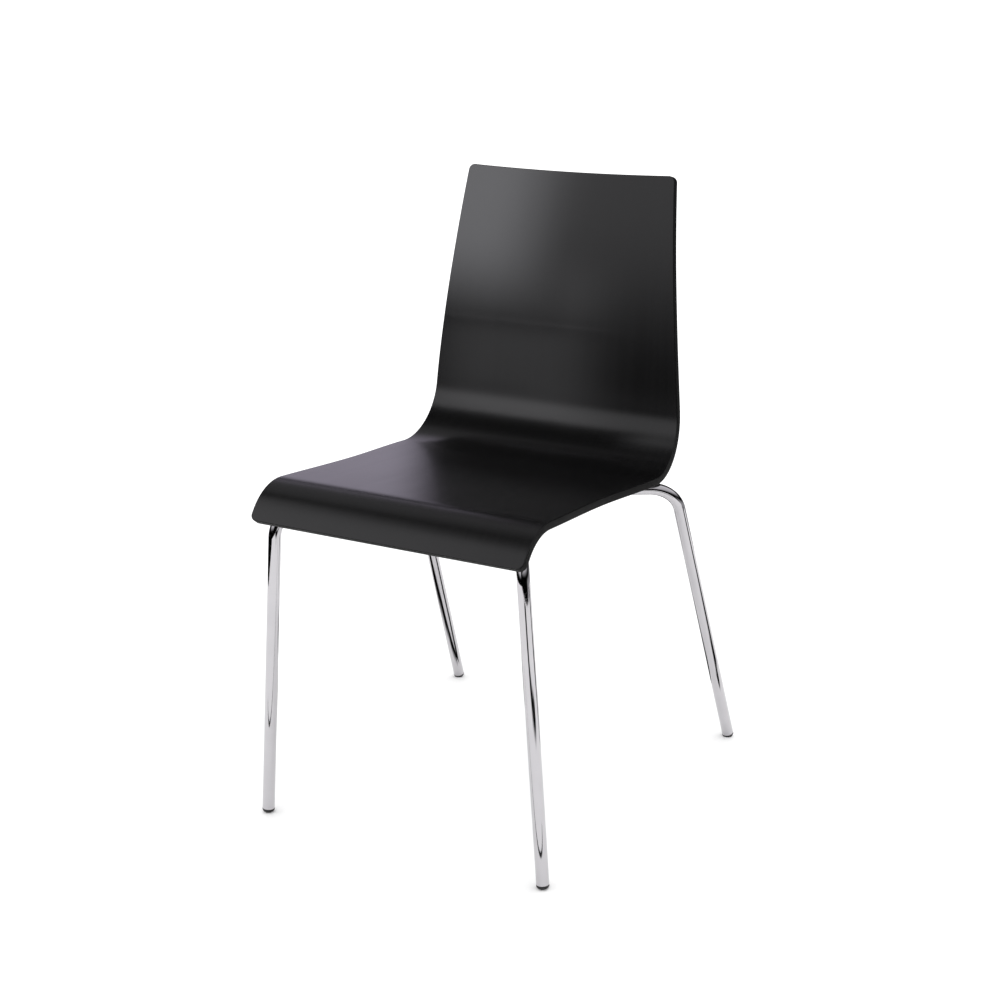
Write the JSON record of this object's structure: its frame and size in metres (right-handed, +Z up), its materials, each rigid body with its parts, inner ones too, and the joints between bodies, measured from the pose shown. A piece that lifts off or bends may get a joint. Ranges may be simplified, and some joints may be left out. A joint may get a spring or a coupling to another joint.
{
  "type": "stacking chair",
  "caption": "Armless four-legged stacking chair: a one-piece moulded plywood seat and back shell screwed to a bent steel tube frame.",
  "frame": {"origin": "on the floor, at the centre of the chair's bounding box in plan", "axes": "+Z up; the chair faces -Y, so its back is towards +Y; +X is to the right of a person who looks at its front"},
  "size_m": [0.4634, 0.561, 0.7997],
  "materials": {
    "plywood": "black-stained ash veneer under satin lacquer",
    "chrome_tube": "polished chrome plating",
    "zinc_hardware": "bright zinc plating",
    "glide_plastic": "matte black nylon",
    "rubber": "matte black elastomer"
  },
  "bodies": {
    "root": {"seat_shell": "plywood", "front_leg_hoop": "chrome_tube", "rear_leg_hoop": "chrome_tube", "centre_weld_plate": "chrome_tube", "mounting_tab_front_left": "chrome_tube", "spacer_disc_front_left": "rubber", "washer_front_left": "zinc_hardware", "seat_screw_front_left": "zinc_hardware", "threaded_insert_front_left": "zinc_hardware", "foot_glide_front_left": "glide_plastic", "stacking_bumper_front_left": "rubber", "mounting_tab_rear_left": "chrome_tube", "spacer_disc_rear_left": "rubber", "washer_rear_left": "zinc_hardware", "seat_screw_rear_left": "zinc_hardware", "threaded_insert_rear_left": "zinc_hardware", "foot_glide_rear_left": "glide_plastic", "stacking_bumper_rear_left": "rubber", "mounting_tab_front_right": "chrome_tube", "spacer_disc_front_right": "rubber", "washer_front_right": "zinc_hardware", "seat_screw_front_right": "zinc_hardware", "threaded_insert_front_right": "zinc_hardware", "foot_glide_front_right": "glide_plastic", "stacking_bumper_front_right": "rubber", "mounting_tab_rear_right": "chrome_tube", "spacer_disc_rear_right": "rubber", "washer_rear_right": "zinc_hardware", "seat_screw_rear_right": "zinc_hardware", "threaded_insert_rear_right": "zinc_hardware", "foot_glide_rear_right": "glide_plastic", "stacking_bumper_rear_right": "rubber"}
  },
  "joints": []
}
